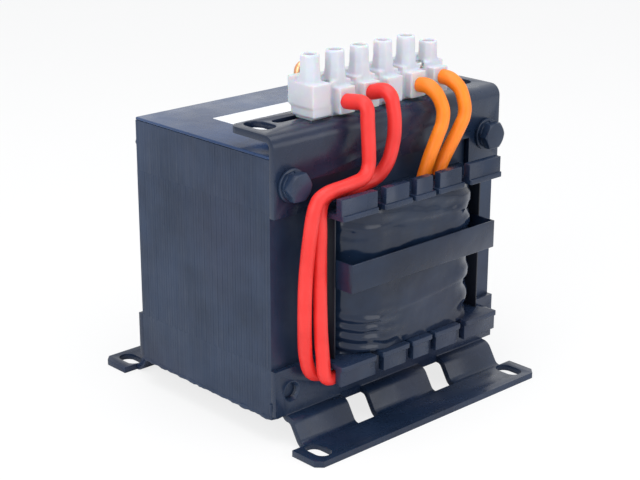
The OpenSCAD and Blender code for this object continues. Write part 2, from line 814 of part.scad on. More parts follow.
e_laminations();
i_laminations();
bobbin_tube();
upper_comb();
lower_comb();
primary_winding();
winding_barrier();
secondary_winding();
coil_wrap();
coil_strap();
leg_liners();
cover_sheet();
rating_label();
terminal_bracket();
front_foot();
rear_foot();
upper_bolts();
lower_bolts();
bolt_sleeves();
threaded_bushes();
plain_washers();
spring_washers();
rear_nuts();
terminal_housing();
terminal_inserts();
terminal_screws();
strip_screws();
red_lead_left();
red_lead_right();
orange_lead_left();
orange_lead_right();
copper_link();
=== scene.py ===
import json
import math
import random

import bmesh
import bpy
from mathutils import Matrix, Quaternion, Vector, noise


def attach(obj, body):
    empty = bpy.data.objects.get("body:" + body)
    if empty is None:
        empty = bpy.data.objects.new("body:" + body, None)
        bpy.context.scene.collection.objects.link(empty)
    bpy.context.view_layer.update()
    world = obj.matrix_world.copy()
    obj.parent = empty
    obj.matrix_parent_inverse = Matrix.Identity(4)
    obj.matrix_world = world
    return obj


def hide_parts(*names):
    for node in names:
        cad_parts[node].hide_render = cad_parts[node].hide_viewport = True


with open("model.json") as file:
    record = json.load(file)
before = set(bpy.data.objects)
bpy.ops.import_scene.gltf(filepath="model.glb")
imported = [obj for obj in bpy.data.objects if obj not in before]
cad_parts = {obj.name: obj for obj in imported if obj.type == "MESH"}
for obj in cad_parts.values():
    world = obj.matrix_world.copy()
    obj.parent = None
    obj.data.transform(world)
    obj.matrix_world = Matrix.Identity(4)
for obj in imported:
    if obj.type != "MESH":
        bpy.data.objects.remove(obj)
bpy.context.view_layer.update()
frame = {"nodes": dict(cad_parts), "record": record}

scene = bpy.context.scene
scene.view_settings.view_transform = "Standard"
MM = 0.001

# ---------------------------------------------------------------- camera

AZIMUTH, ELEVATION, ROLL = math.radians(-43.07), math.radians(18.892), math.radians(0.083)
AIM = Vector((-35.475, -39.0, 74.94)) * MM
BACK = Vector((math.sin(AZIMUTH) * math.cos(ELEVATION),
               -math.cos(AZIMUTH) * math.cos(ELEVATION), math.sin(ELEVATION)))

camera = bpy.data.objects.new("camera", bpy.data.cameras.new("camera"))
scene.collection.objects.link(camera)
scene.camera = camera
camera.data.sensor_width = 36.0
camera.data.lens = 86.83
camera.data.clip_start, camera.data.clip_end = 0.05, 20.0
camera.rotation_mode = "QUATERNION"
camera.location = AIM + BACK * 0.56736
camera.rotation_quaternion = (-BACK).to_track_quat("-Z", "Y") @ Quaternion((0, 0, 1), ROLL)

# ---------------------------------------------------------------- materials


class Finish:
    """A node material with a Principled shader and helpers for its procedural detail."""

    def __init__(self, name, metallic=0.0, **sockets):
        self.material = bpy.data.materials.new(name)
        self.material.use_nodes = True
        self.tree = self.material.node_tree
        self.tree.nodes.clear()
        self.out = self.add("ShaderNodeOutputMaterial")
        self.shader = self.add("ShaderNodeBsdfPrincipled")
        self.link(self.shader.outputs[0], self.out.inputs["Surface"])
        self.shader.inputs["Metallic"].default_value = metallic
        for key, value in sockets.items():
            self.shader.inputs[key.replace("_", " ")].default_value = value
        self.place = self.add("ShaderNodeTexCoord").outputs["Object"]
        self.normal = None

    def add(self, kind, **settings):
        node = self.tree.nodes.new(kind)
        for key, value in settings.items():
            setattr(node, key, value)
        return node

    def link(self, a, b):
        self.tree.links.new(a, b)

    def noise(self, scale, detail=3.0, rough=0.5, stretch=(1, 1, 1), warp=0.0):
        at = self.add("ShaderNodeMapping")
        at.inputs["Scale"].default_value = stretch
        self.link(self.place, at.inputs["Vector"])
        node = self.add("ShaderNodeTexNoise")
        self.link(at.outputs[0], node.inputs["Vector"])
        for key, value in (("Scale", scale), ("Detail", detail), ("Roughness", rough),
                           ("Distortion", warp)):
            node.inputs[key].default_value = value
        return node.outputs["Fac"]

    def cells(self, scale):
        node = self.add("ShaderNodeTexVoronoi")
        self.link(self.place, node.inputs["Vector"])
        node.inputs["Scale"].default_value = scale
        return node.outputs["Distance"]

    def ramp(self, value, *stops):
        node = self.add("ShaderNodeValToRGB")
        self.link(value, node.inputs[0])
        ramp = node.color_ramp
        while len(ramp.elements) < len(stops):
            ramp.elements.new(0.5)
        for element, (at, colour) in zip(ramp.elements, stops):
            element.position = at
            element.color = (*colour, 1) if isinstance(colour, tuple) else (colour,) * 3 + (1,)
        return node.outputs[0]

    def mix(self, value, a, b):
        node = self.add("ShaderNodeMix", data_type="RGBA")
        self.link(value, node.inputs["Factor"])
        colours = [s for s in node.inputs if s.type == "RGBA"]
        for socket, item in zip(colours, (a, b)):
            if isinstance(item, tuple):
                socket.default_value = (*item, 1)
            else:
                self.link(item, socket)
        return [s for s in node.outputs if s.type == "RGBA"][0]

    def span(self, value, low, high, from_low=0.3, from_high=0.7):
        node = self.add("ShaderNodeMapRange")
        self.link(value, node.inputs["Value"])
        for key, item in (("From Min", from_low), ("From Max", from_high), ("To Min", low),
                          ("To Max", high)):
            node.inputs[key].default_value = item
        return node.outputs[0]

    def bump(self, height, distance, strength=1.0):
        node = self.add("ShaderNodeBump")
        node.inputs["Distance"].default_value = distance * MM
        node.inputs["Strength"].default_value = strength
        self.link(height, node.inputs["Height"])
        if self.normal:
            self.link(self.normal, node.inputs["Normal"])
        self.normal = node.outputs[0]
        self.link(self.normal, self.shader.inputs["Normal"])

    def colour(self, output):
        self.link(output, self.shader.inputs["Base Color"])

    def rough(self, output):
        self.link(output, self.shader.inputs["Roughness"])


WARM_TINT, WORN_DOT, WARM_SHARE = (0.05, 0.02, 0.035), (0.25, 0.27, 0.3), 0.12


def varnish(name, dark, light, gloss, ripple, speck=0.25):
    """Thick dark impregnating varnish: pooled gloss, faint runs, dust specks, worn dots."""
    m = Finish(name, Specular_IOR_Level=0.34)
    cloud = m.noise(38, 4, 0.6)
    base = m.mix(m.span(cloud, 0, 1, 0.35, 0.68), dark, light)
    tint = m.mix(m.span(m.noise(17, 2), 0, WARM_SHARE, 0.45, 0.75), base, WARM_TINT)
    dots = m.ramp(m.cells(260), (0.0, 1.0), (0.05, 0.0))
    rare = m.span(m.noise(60, 1), 0, 0.5, 0.6, 0.72)
    both = m.add("ShaderNodeMath", operation="MULTIPLY")
    m.link(dots, both.inputs[0])
    m.link(rare, both.inputs[1])
    m.colour(m.mix(both.outputs[0], tint, WORN_DOT))
    m.rough(m.span(m.noise(90, 5, 0.65), *gloss))
    m.bump(m.noise(70, 2, 0.5), ripple)
    m.bump(m.noise(1300, 2, 0.6), speck * 0.05)
    return m.material


def lead_sleeve(name, dark, light):
    """Soft plastic insulation with a fine grain."""
    m = Finish(name, Specular_IOR_Level=0.45, Subsurface_Weight=0.08, Subsurface_Scale=0.001)
    m.colour(m.mix(m.span(m.noise(55, 4, 0.6), 0, 1), dark, light))
    m.rough(m.span(m.noise(160, 4, 0.6), 0.38, 0.55))
    m.bump(m.noise(420, 2), 0.04)
    m.bump(m.noise(2600, 2), 0.01)
    return m.material


def metal(name, dark, light, gloss):
    """Bare metal with faint marks."""
    m = Finish(name, metallic=1.0)
    m.colour(m.mix(m.span(m.noise(300, 4, 0.6), 0, 1), dark, light))
    m.rough(m.span(m.noise(700, 4, 0.6), *gloss))
    m.bump(m.noise(1500, 2, 0.5), 0.01)
    return m.material


def enamelled_copper():
    """Winding wire, its turns shown as fine ridges."""
    m = Finish("enamelled_copper", metallic=0.8)
    m.colour(m.mix(m.span(m.noise(90, 3), 0, 1), (0.4, 0.12, 0.04), (0.6, 0.24, 0.09)))
    m.rough(m.span(m.noise(400, 3, 0.5, (1, 1, 6)), 0.2, 0.35))
    m.bump(m.noise(300, 1, 0.5, (0.1, 0.1, 6)), 0.1)
    return m.material


def paper(name, dark, light):
    """Insulating paper or film with long fibres."""
    m = Finish(name, Specular_IOR_Level=0.3)
    m.colour(m.mix(m.span(m.noise(600, 5, 0.7, (3, 0.4, 1)), 0, 1), dark, light))
    m.rough(m.span(m.noise(300, 3), 0.55, 0.8))
    m.bump(m.noise(1800, 3), 0.02)
    return m.material


def milky_nylon():
    """Cloudy moulded plastic that lets light through."""
    m = Finish("milky_nylon", Specular_IOR_Level=0.22, IOR=1.4, Subsurface_Weight=0.75,
               Subsurface_Scale=0.005, Transmission_Weight=0.22)
    m.colour(m.mix(m.span(m.noise(120, 3, 0.5), 0, 1), (0.72, 0.74, 0.81), (0.8, 0.81, 0.87)))
    m.rough(m.span(m.noise(500, 4, 0.6), 0.45, 0.6))
    m.bump(m.noise(900, 2), 0.02)
    return m.material


def label_white():
    """A bare printed-stock label, a little smudged."""
    m = Finish("label_white", Specular_IOR_Level=0.4)
    smudge = m.span(m.noise(140, 5, 0.65), 0, 0.35, 0.55, 0.8)
    m.colour(m.mix(smudge, (0.82, 0.83, 0.85), (0.6, 0.62, 0.68)))
    m.rough(m.span(m.noise(260, 3), 0.4, 0.6))
    m.bump(m.noise(500, 2), 0.02)
    return m.material


NAVY_DARK, NAVY_LIGHT = (0.008, 0.017, 0.040), (0.015, 0.030, 0.066)
MATERIAL = {
    "core_varnish": varnish("core_varnish", (0.010, 0.022, 0.050), (0.022, 0.040, 0.082),
                            (0.3, 0.5), 0.2, 0.6),
    "bobbin_varnish": varnish("bobbin_varnish", NAVY_DARK, NAVY_LIGHT, (0.18, 0.36), 0.3),
    "bracket_varnish": varnish("bracket_varnish", NAVY_DARK, NAVY_LIGHT, (0.2, 0.36), 0.3),
    "fastener_varnish": varnish("fastener_varnish", NAVY_DARK, (0.022, 0.042, 0.084),
                                (0.2, 0.34), 0.15),
    "tape_varnish": varnish("tape_varnish", (0.005, 0.011, 0.028), (0.011, 0.024, 0.054),
                            (0.08, 0.24), 0.5),
    # liner_varnish: near-black, a painted shade for the shadowed gaps between the coil and the
    # core's legs
    "liner_varnish": varnish("liner_varnish", (0.006, 0.009, 0.016), (0.012, 0.016, 0.026),
                             (0.3, 0.5), 0.2),
    # cover_varnish: the core's navy varnish painted lighter and bluer on the top cover sheet, a
    # painted highlight for its lit top and its sheen
    "cover_varnish": varnish("cover_varnish", (0.010, 0.034, 0.10), (0.018, 0.052, 0.14),
                             (0.2, 0.34), 0.25),
    "lead_red": lead_sleeve("lead_red", (0.70, 0.020, 0.016), (0.84, 0.036, 0.030)),
    "lead_orange": lead_sleeve("lead_orange", (0.88, 0.185, 0.004), (1.0, 0.25, 0.010)),
    "bare_copper": metal("bare_copper", (0.62, 0.26, 0.12), (0.85, 0.45, 0.26), (0.2, 0.4)),
    "brass_insert": metal("brass_insert", (0.62, 0.45, 0.16), (0.8, 0.62, 0.28), (0.22, 0.4)),
    "plated_screw": metal("plated_screw", (0.5, 0.5, 0.48), (0.68, 0.68, 0.65), (0.2, 0.38)),
    "enamelled_copper": enamelled_copper(),
    "barrier_film": paper("barrier_film", (0.6, 0.5, 0.28), (0.75, 0.66, 0.42)),
    "sleeve_paper": paper("sleeve_paper", (0.5, 0.38, 0.2), (0.66, 0.54, 0.33)),
    "milky_nylon": milky_nylon(),
    "label_white": label_white(),
}
SLOT = {item["node"]: item["material_slot"] for item in frame["record"]["subparts"]}

# ---------------------------------------------------------------- mesh helpers


def shade(mesh, angle):
    """Smooth shading, with edges steeper than angle degrees kept sharp."""
    mesh.polygons.foreach_set("use_smooth", [True] * len(mesh.polygons))
    mesh.set_sharp_from_angle(angle=math.radians(angle))


def place_piece(name, mesh, slot, nodes, angle=35):
    """An object of the mesh, riding the body and standing in for its nodes."""
    mesh.materials.clear()
    mesh.materials.append(MATERIAL[slot])
    shade(mesh, angle)
    obj = bpy.data.objects.new(name, mesh)
    scene.collection.objects.link(obj)
    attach(obj, "root")
    if nodes:
        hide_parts(*nodes)
    return obj


def mesh_piece(name, points, faces, slot, nodes=(), angle=35):
    """A piece from points in millimetres."""
    bm = bmesh.new()
    made = [bm.verts.new(Vector(p) * MM) for p in points]
    for face in faces:
        bm.faces.new([made[i] for i in face])
    bmesh.ops.recalc_face_normals(bm, faces=bm.faces)
    mesh = bpy.data.meshes.new(name)
    bm.to_mesh(mesh)
    bm.free()
    return place_piece(name, mesh, slot, nodes, angle)


SHARP_EDGE, FLAT_JOIN = math.radians(25), math.radians(0.6)


def rounded_copy(node, width, segments=2):
    """The node's solid with its edges rounded."""
    bm = bmesh.new()
    bm.from_mesh(frame["nodes"][node].data)
    bmesh.ops.remove_doubles(bm, verts=bm.verts, dist=0.004 * MM)
    bmesh.ops.dissolve_limit(bm, angle_limit=FLAT_JOIN, verts=bm.verts, edges=bm.edges)
    edges = [e for e in bm.edges
             if len(e.link_faces) == 2 and e.calc_face_angle(0) > SHARP_EDGE]
    bmesh.ops.bevel(bm, geom=edges, offset=width * MM, segments=segments, profile=0.5,
                    affect="EDGES", clamp_overlap=True)
    bmesh.ops.remove_doubles(bm, verts=bm.verts, dist=0.002 * MM)
    name = node + "_dressed"
    mesh = bpy.data.meshes.new(name)
    bm.to_mesh(mesh)
    bm.free()
    return place_piece(name, mesh, SLOT[node], [node])


def smooth_path(points, step=0.8):
    """A Catmull-Rom curve through the points, in steps of about step millimetres."""
    p = [Vector(q) for q in points]
    p = [2 * p[0] - p[1]] + p + [2 * p[-1] - p[-2]]
    out = []
    for i in range(1, len(p) - 2):
        count = max(2, round((p[i + 1] - p[i]).length / step))
        for k in range(count):
            t = k / count
            out.append(0.5 * (2 * p[i] + (p[i + 1] - p[i - 1]) * t
                              + (2 * p[i - 1] - 5 * p[i] + 4 * p[i + 1] - p[i + 2]) * t * t
                              + (3 * p[i] - p[i - 1] - 3 * p[i + 1] + p[i + 2]) * t ** 3))
    return out + [p[-2]]


def sweep(name, path, radius, slot, nodes=(), sides=20):
    """A tube along the path; radius is a number or a function of the distance along it."""
    points, faces, along = [], [], 0.0
    normal = Vector((0, 0, 1))
    for i, p in enumerate(path):
        ahead, behind = path[min(i + 1, len(path) - 1)], path[max(i - 1, 0)]
        tangent = (ahead - behind).normalized()
        normal = (normal - normal.dot(tangent) * tangent).normalized()
        side = tangent.cross(normal)
        if i:
            along += (p - path[i - 1]).length
        for k in range(sides):
            a = 2 * math.pi * k / sides
            r = radius(along, a) if callable(radius) else radius
            points.append(p + r * (math.cos(a) * normal + math.sin(a) * side))
    for i in range(len(path) - 1):
        for k in range(sides):
            j = (k + 1) % sides
            faces.append((i * sides + k, i * sides + j, (i + 1) * sides + j, (i + 1) * sides + k))
    last = (len(path) - 1) * sides
    faces += [tuple(range(sides - 1, -1, -1)), tuple(range(last, last + sides))]
    return mesh_piece(name, points, faces, slot, nodes, 60)


def lathe_y(profile, centre, sides=48):
    """Points and faces of a closed profile of (radius, y) turned about a line along Y."""
    points, faces, n = [], [], len(profile)
    for k in range(sides):
        a = 2 * math.pi * k / sides
        points += [(centre[0] + r * math.cos(a), centre[1] + y, centre[2] + r * math.sin(a))
                   for r, y in profile]
    for k in range(sides):
        j = (k + 1) % sides
        faces += [(k * n + i, k * n + (i + 1) % n, j * n + (i + 1) % n, j * n + i)
                  for i in range(n)]
    return points, faces


def wobble(p, scale, seed=0.0):
    """Smooth noise at p, from about -1 to 1."""
    return noise.noise(Vector(p) * scale + Vector((seed, 2 * seed, -seed)))


# ---------------------------------------------------------------- the core

random.seed(7)
CORE_X, CORE_Y, CORE_LOW, CORE_HIGH, LEG = 60.0, 39.0, 10.0, 110.0, 20.0
SEAM_LOW, SEAM_HIGH = CORE_LOW + LEG, CORE_HIGH - LEG


SHEETS, IN_PACK = 156, 3
SEAM_HALF, SEAM_DIP, EDGE_ROUND = 0.12, 0.08, 0.13
RING = 16


def sheet_steps():
    """Each sheet's rows as (y, edge shifts, groove depth, whether the E lies head down)."""
    t = 2 * CORE_Y / SHEETS
    steps = []
    for s in range(SHEETS):
        if s % IN_PACK == 0:
            flipped = (s // IN_PACK) % 2
            pack = [random.uniform(-0.03, 0.03) for _ in range(8)]
        own = [p + random.uniform(-0.02, 0.015) for p in pack]
        y = -CORE_Y + s * t
        bare = max(0.0, 1 - abs((y + 17) / 17)) ** 0.6
        groove = (0.10 + 0.16 * bare) if s % IN_PACK == 0 else 0.02 + 0.05 * bare
        steps += [(y, own, groove, flipped), (y + EDGE_ROUND * t, own, 0, flipped),
                  (y + (1 - EDGE_ROUND) * t, own, 0, flipped)]
    steps.append((CORE_Y, own, 0.1, flipped))
    return steps


def sheet_outline(own, groove, flipped):
    """The outer edge of one row, up the left side and down the right, as (x, z)."""
    seam = SEAM_LOW if flipped else SEAM_HIGH

    def edge(side, zone):
        depth = groove if zone == 1 else 0.45 * groove
        return side * (CORE_X + own[zone + (3 if side > 0 else 0)] - depth)

    loop = []
    for side in (-1, 1):
        low, high = CORE_LOW - own[6] + groove, CORE_HIGH + own[7] - groove
        column = [(edge(side, 0), low)]
        for zone, z in ((0, SEAM_LOW), (1, SEAM_HIGH)):
            dip = SEAM_DIP if abs(z - seam) < 1 else 0.0
            column += [(edge(side, zone), z - SEAM_HALF), (edge(side, zone) - side * dip, z),
                       (edge(side, zone + 1), z + SEAM_HALF)]
        column.append((edge(side, 2), high))
        loop += column if side < 0 else column[::-1]
    return loop


def lamination_stack():
    """156 single sheets, laid in packs of three that face up and down in turn."""
    points, faces, n = [], [], RING
    steps = sheet_steps()
    for y, own, groove, flipped in steps:
        points += [(x, y, z) for x, z in sheet_outline(own, groove, flipped)]
    rings = len(steps)
    for i in range(rings - 1):
        for k in range(n):
            j = (k + 1) % n
            faces.append((i * n + k, i * n + j, (i + 1) * n + j, (i + 1) * n + k))
    windows = []
    for y in (-CORE_Y, CORE_Y):
        base = len(points)
        points += [(x, y, z) for x in (-2 * LEG, -LEG, LEG, 2 * LEG)
                   for z in (SEAM_LOW, SEAM_HIGH)]
        windows.append([base + k for k in range(8)])
    for ring, c in ((0, windows[0]), ((rings - 1) * n, windows[1])):
        left = [ring + k for k in range(8)]
        right = [ring + n - 1 - k for k in range(8)]
        faces += [(left[0], left[1], left[2], c[0], c[2], c[4], c[6],
                   right[2], right[1], right[0]),
                  (left[2], left[3], left[4], left[5], c[1], c[0]),
                  (c[2], c[3], c[5], c[4]),
                  (c[6], c[7], right[5], right[4], right[3], right[2]),
                  (left[5], left[6], left[7], right[7], right[6], right[5],
                   c[7], c[5], c[3], c[1])]
    front, rear = windows
    for a, b in ((0, 1), (1, 3), (3, 2), (2, 0), (4, 5), (5, 7), (7, 6), (6, 4)):
        faces.append((front[a], front[b], rear[b], rear[a]))
    mesh_piece("lamination_stack", points, faces, "core_varnish",
               ["e_laminations", "i_laminations"], 20)


lamination_stack()


def varnish_bead(name, points, size, seed):
    """A run of set varnish along an edge, thick in places."""
    def radius(along, a):
        return size * (0.55 + 0.5 * abs(wobble((along, 0, 0), 0.16, seed)) * 2
                       + 0.18 * wobble((along, a, 0), 0.9, seed))
    sweep(name, smooth_path(points, 0.7), radius, "core_varnish", sides=10)


varnish_bead("varnish_left_low",
             [(-59.7, -38.6, 10.3), (-59.7, 0, 10.2), (-59.7, 38.6, 10.3)], 0.9, 3)
varnish_bead("varnish_corner",
             [(-59.6, -38.7, 9.9), (-59.5, -38.6, 11.5), (-59.8, -38.8, 16.5)], 1.1, 5)
varnish_bead("varnish_front_low",
             [(-59.6, -38.7, 10.2), (-50, -38.7, 10.0), (-41, -38.7, 10.2)], 0.7, 8)
varnish_bead("varnish_right_low",
             [(59.7, -38.6, 10.3), (59.7, 0, 10.2), (59.7, 38.6, 10.3)], 0.8, 9)

# ---------------------------------------------------------------- brackets, bobbin, cover

EDGE_WIDTH = {"terminal_bracket": 0.45, "front_foot": 0.45, "rear_foot": 0.45, "upper_comb": 0.4,
              "lower_comb": 0.4, "leg_liners": 0.15, "coil_strap": 0.2, "cover_sheet": 0.5,
              "rating_label": 0.06, "upper_bolts": 0.25, "plain_washers": 0.2,
              "spring_washers": 0.15, "rear_nuts": 0.2}
for node_name, edge_width in EDGE_WIDTH.items():
    rounded_copy(node_name, edge_width, 3 if node_name == "cover_sheet" else 2)

BUSH_X, BUSH_Z, BUSH_MOUTH = 52.0, 20.0, 2.5


def threaded_bushes():
    """Four bushes with the rings of their thread, one at each end of a lower stud."""
    outer, core, crest, length, pitch = 4.2, 3.35, 2.95, 12.0, 1.0
    points, faces = [], []
    for side in (-1, 1):
        for end in (-1, 1):
            mouth = end * (CORE_Y + BUSH_MOUTH)
            profile = [(outer, 0), (outer, length), (core, length)]
            y = length - 0.4
            while y > 1.0:
                profile += [(core, y), (crest, y - pitch / 2)]
                y -= pitch
            profile += [(core, 0.5), (core + 0.45, 0.0)]
            profile = [(r, -end * d) for r, d in profile]
            p, f = lathe_y(profile, (side * BUSH_X, mouth, BUSH_Z))
            faces += [tuple(i + len(points) for i in face) for face in f]
            points += p
    mesh_piece("threaded_bushes_dressed", points, faces, "fastener_varnish",
               ["threaded_bushes"], 25)


threaded_bushes()

# ---------------------------------------------------------------- the coil


COIL_X, COIL_Y, COIL_CORNER, COIL_LOW, COIL_HIGH = 37.6, 56.6, 17.8, 32.2, 87.8
CORNER_STEPS, COIL_ROWS, TAPE_INSET = 28, 96, 1.2
TAPE_EDGES = ((47.0, 0.10, 0.22), (63.0, 0.06, 0.2), (79.5, -0.05, 0.22))


def soft(t):
    """0 up to 0, 1 from 1 on, and a smooth rise between."""
    t = min(1.0, max(0.0, t))
    return t * t * (3 - 2 * t)


def coil_outline():
    """Points round the coil with their outward directions, as (x, y, nx, ny)."""
    r, dx, dy = COIL_CORNER, COIL_X - COIL_CORNER, COIL_Y - COIL_CORNER
    ring = []
    for cx, cy, start in ((dx, -dy, -90), (dx, dy, 0), (-dx, dy, 90), (-dx, -dy, 180)):
        for k in range(CORNER_STEPS):
            a = math.radians(start + 90 * k / CORNER_STEPS)
            ring.append((cx + r * math.cos(a), cy + r * math.sin(a), math.cos(a), math.sin(a)))
        a = math.radians(start + 90)
        nx, ny = math.cos(a), math.sin(a)
        length = 2 * (dy if start in (-90, 90) else dx)
        count = int(length)
        ring += [(cx + r * nx - ny * length * k / count, cy + r * ny + nx * length * k / count,
                  nx, ny) for k in range(count)]
    return ring


def tape_fold(x, y, z):
    """How far the tape stands out of its even surface: overlaps of its turns, then wrinkles."""
    front = soft((-y - 36) / 8)
    fold = 0.0
    for z0, slope, lift in TAPE_EDGES:
        edge = z0 + slope * x + 1.2 * wobble((x, y, z0), 0.05)
        fold += lift * soft((z - edge) / 0.5 + 0.5) - 0.5 * lift
    left = soft((-x - 4) / 22) * front * soft((53 - z) / 9)
    fold += 0.42 * left * math.sin(z * 1.55 + 0.25 * x + 2.2 * wobble((x, y, z), 0.12))
    right = soft((x - 16) / 12) * front
    fold += 0.5 * right * math.sin(z * 0.62 + 1.4 + 1.5 * wobble((x, y, z), 0.08))
    top = soft((z - 74) / 8) * front
    fold += 0.25 * top * math.sin(z * 1.1 + 0.2 * x + 2 * wobble((x, y, z), 0.1, 4))
    return fold + 0.3 * wobble((x, y, z * 1.8), 0.09, 6) + 0.06 * wobble((x, y, z), 0.5, 2)


def coil_wrap():
    """Layers of varnished tape around the coil: overlaps, pulled wrinkles and a slight belly."""
    ring, rows = coil_outline(), COIL_ROWS
    points, faces, n = [], [], len(ring)
    for j in range(rows + 1):
        v = j / rows
        z = COIL_LOW + (COIL_HIGH - COIL_LOW) * j / rows
        belly = 0.55 * math.sin(math.pi * v) ** 0.8
        for x, y, nx, ny in ring:
            d = min(0.9, belly + tape_fold(x, y, z)) - 0.35
            points.append((x + nx * d, y + ny * d, z))
    for j in range(rows):
        for k in range(n):
            m = (k + 1) % n
            faces.append((j * n + k, j * n + m, (j + 1) * n + m, (j + 1) * n + k))
    for z, row in ((COIL_LOW, 0), (COIL_HIGH, rows)):
        base = len(points)
        points += [(x - nx * TAPE_INSET, y - ny * TAPE_INSET, z) for x, y, nx, ny in ring]
        for k in range(n):
            m = (k + 1) % n
            faces.append((row * n + k, row * n + m, base + m, base + k))
    inner = (rows + 1) * n
    for k in range(n):
        m = (k + 1) % n
        faces.append((inner + k, inner + m, inner + n + m, inner + n + k))
    mesh_piece("coil_wrap_dressed", points, faces, "tape_varnish", ["coil_wrap"], 60)


coil_wrap()

# ---------------------------------------------------------------- the leads and the link

RED_LEFT = [(-20.7, -33.2, 124.3), (-20.7, -37.5, 124.5), (-21, -42, 125.1),
            (-21.3, -46.2, 125.6), (-21.3, -48.5, 123.7), (-21.3, -48.9, 118.8),
            (-21.3, -49.6, 108.9), (-21.8, -50, 102.5), (-25.5, -51, 99.2), (-32.5, -51.5, 98.3),
            (-44, -51, 97), (-49, -51, 93), (-51, -50, 80), (-52, -49, 64), (-51.5, -48, 46),
            (-50, -47, 35), (-47.5, -46.6, 28.5), (-44, -46.6, 26.2), (-40.5, -46.6, 26.2)]
RED_RIGHT = [(-7.9, -33.2, 125.6), (-7.9, -37.5, 125.9), (-7.9, -41.5, 127.1),
             (-7.9, -44.8, 127.4), (-7.9, -47.4, 125.7), (-7.9, -48.6, 121.9),
             (-7.9, -49.4, 116.9), (-8.2, -49.2, 109.6), (-10.9, -48.8, 101.6),
             (-16, -47, 96), (-27, -46, 94.5), (-38, -47, 95), (-44.5, -49, 92), (-45.8, -50, 82),
             (-45.8, -50, 62), (-45.8, -50.5, 46), (-45.8, -51.5, 36), (-45.6, -52.3, 28.5),
             (-43.5, -52.3, 26.2), (-40, -52.3, 26.2)]
ORANGE_LEFT = [(17.9, -33.2, 124.4), (17.9, -37.5, 124.6), (18, -41, 124.8), (18.5, -44.3, 123.2),
               (19, -46.6, 120.5), (19.4, -48.3, 116.2), (18.3, -48.9, 111.5),
               (16.2, -48.9, 107.5), (13.2, -48, 99.9), (11.2, -47.2, 93.5), (10.6, -46.8, 90.4)]
ORANGE_RIGHT = [(30.8, -33.2, 125.4), (30.8, -37.5, 125.7), (30.8, -41, 125.4),
                (31.3, -44, 123.7), (31.6, -46.3, 121.3), (31.4, -48.4, 116.3),
                (30.6, -49, 112.5), (28.6, -49, 109), (24.7, -48, 102.1), (20.9, -47.1, 95.5),
                (18.8, -46.6, 90.4)]


LEAD_RADIUS, LINK_RADIUS = 2.62, 1.7


def lead(node, route, slot, seed):
    """One lead along its route, a little thicker where it bends out of its entry."""
    def radius(along, a):
        swell = 0.32 * math.exp(-((along - 8) / 6) ** 2) if along > 3.5 else 0.0
        return LEAD_RADIUS + swell + 0.07 * wobble((along, 0, 0), 0.12, seed)
    sweep(node + "_dressed", smooth_path(route, 0.7), radius, slot, [node], 24)


lead("red_lead_left", RED_LEFT, "lead_red", 1)
lead("red_lead_right", RED_RIGHT, "lead_red", 2)
lead("orange_lead_left", ORANGE_LEFT, "lead_orange", 3)
lead("orange_lead_right", ORANGE_RIGHT, "lead_orange", 4)

LINK = [(-32.2, -26.8, 126.8), (-31.8, -22.7, 127.2), (-30.4, -21, 129.8),
        (-29.5, -20.8, 133.2), (-29.1, -20.8, 135.2), (-27.4, -20.9, 136.4),
        (-23.6, -20.9, 136.4), (-21.4, -20.8, 135.2), (-20.9, -20.8, 133.2),
        (-20.4, -21, 129.8), (-19.9, -22.7, 127.2), (-19.8, -26.8, 126.8)]
sweep("copper_link_dressed", smooth_path(LINK, 0.6), LINK_RADIUS, "bare_copper",
      ["copper_link"], 20)

# ---------------------------------------------------------------- the terminal strip

POLES, PITCH = 6, 12.4
POLE_X = [-32.2 + PITCH * k for k in range(POLES)]
STRIP_Y, STRIP_FOOT, TOWER_TOP, LAST_TOP = -30.0, 118.7, 142.7, 139.1
ENTRIES = {1: (-20.7, -36, 124.4), 2: (-7.9, -36, 125.7), 3: (5.0, -36, 124.8),
           4: (17.9, -36, 124.5), 5: (30.8, -36, 125.5)}
TOWER_HOLE, ENTRY_HOLE, SCREW_HOLE, ROD_SIDES, NYLON_VOXEL = 2.45, 2.75, 2.6, 32, 0.36
BOX_FACES = ((3, 2, 1, 0), (4, 5, 6, 7), (0, 1, 5, 4), (1, 2, 6, 5), (2, 3, 7, 6), (3, 0, 4, 7))


def add_rings(bm, rings):
    """A closed shell through rings of corners, from the first to the last."""
    rings = [[bm.verts.new(Vector(p) * MM) for p in ring] for ring in rings]
    bm.faces.new(rings[0][::-1])
    bm.faces.new(rings[-1])
    n = len(rings[0])
    for low, high in zip(rings, rings[1:]):
        for k in range(n):
            bm.faces.new((low[k], low[(k + 1) % n], high[(k + 1) % n], high[k]))


def tower_ring(x, y, z, width, corner):
    """Eight corners of a square with its corners cut off."""
    h, c = width / 2, corner
    loop = ((h - c, -h), (h, c - h), (h, h - c), (h - c, h), (c - h, h), (-h, h - c),
            (-h, c - h), (c - h, -h))
    return [(x + a, y + b, z) for a, b in loop]


def rod_ring(x, y, z, r, end, axis):
    """A circle across Y or Z, end millimetres along from its place."""
    turns = [2 * math.pi * k / ROD_SIDES for k in range(ROD_SIDES)]
    flat = [(r * math.cos(a), r * math.sin(a)) for a in turns]
    if axis == "y":
        return [(x + u, y + end, z + w) for u, w in flat]
    return [(x + u, y + w, z + end) for u, w in flat]


def shells(name, boxes, towers=(), rods=()):
    """An object of closed shells: boxes, tapered eight-sided towers and round rods."""
    bm = bmesh.new()
    for x0, x1, y0, y1, z0, z1 in boxes:
        v = [bm.verts.new(Vector((x, y, z)) * MM) for z in (z0, z1)
             for x, y in ((x0, y0), (x1, y0), (x1, y1), (x0, y1))]
        for f in BOX_FACES:
            bm.faces.new([v[i] for i in f])
    for x, y, levels in towers:
        add_rings(bm, [tower_ring(x, y, *level) for level in levels])
    for x, y, z, r, length, axis in rods:
        add_rings(bm, [rod_ring(x, y, z, r, end, axis) for end in (0.0, length)])
    bmesh.ops.recalc_face_normals(bm, faces=bm.faces)
    mesh = bpy.data.meshes.new(name)
    bm.to_mesh(mesh)
    bm.free()
    obj = bpy.data.objects.new(name, mesh)
    scene.collection.objects.link(obj)
    return obj


